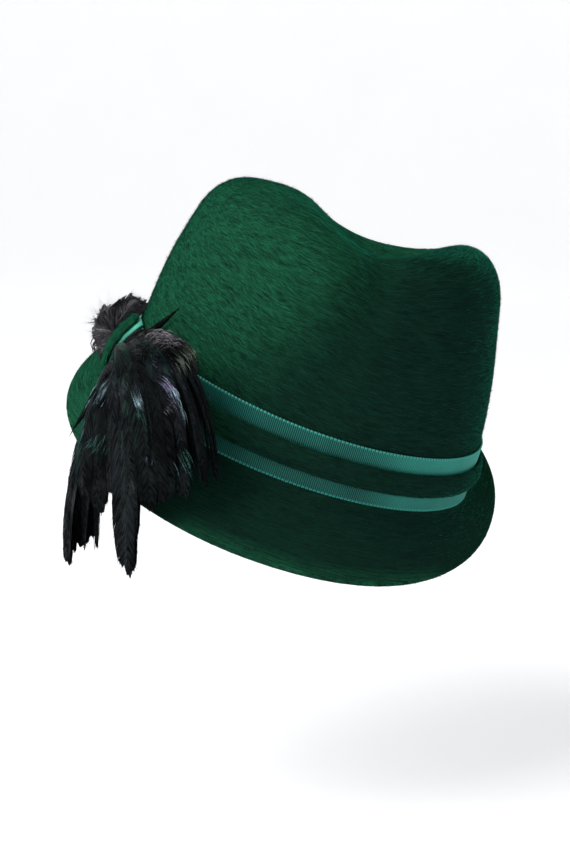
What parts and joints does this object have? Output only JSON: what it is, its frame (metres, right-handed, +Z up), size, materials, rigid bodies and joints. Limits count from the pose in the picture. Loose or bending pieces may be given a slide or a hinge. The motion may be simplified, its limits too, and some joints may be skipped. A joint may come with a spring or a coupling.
{
  "type": "felt hat",
  "caption": "Long-napped fur-felt hat of the trilby kind: creased crown, brim snapped down at the front, ribbon and felt band, and a trim of cock feathers at one side.",
  "frame": {"origin": "middle of the head opening, at the head line on the outside of the felt", "axes": "+Z up as worn; the wearer looks along -Y; +X is the wearer's left. The hat is slanted as worn: 15 degrees forward and 11.6 degrees down towards the wearer's left."},
  "size_m": [0.2368, 0.2361, 0.1898],
  "materials": {
    "felt": "long, glossy nap brushed around the crown and brim",
    "ribbon": "ribbed grosgrain with a soft sheen",
    "dark_feather": "glossy cock feather with a blue-green sheen",
    "grey_feather": "soft grey-black feather"
  },
  "bodies": {
    "root": {"crown_and_brim": "felt", "ribbon_band": "ribbon", "felt_band": "felt", "felt_loop": "felt", "ribbon_loop": "ribbon", "hanging_plume": "dark_feather", "curled_plume": "grey_feather"}
  },
  "joints": []
}
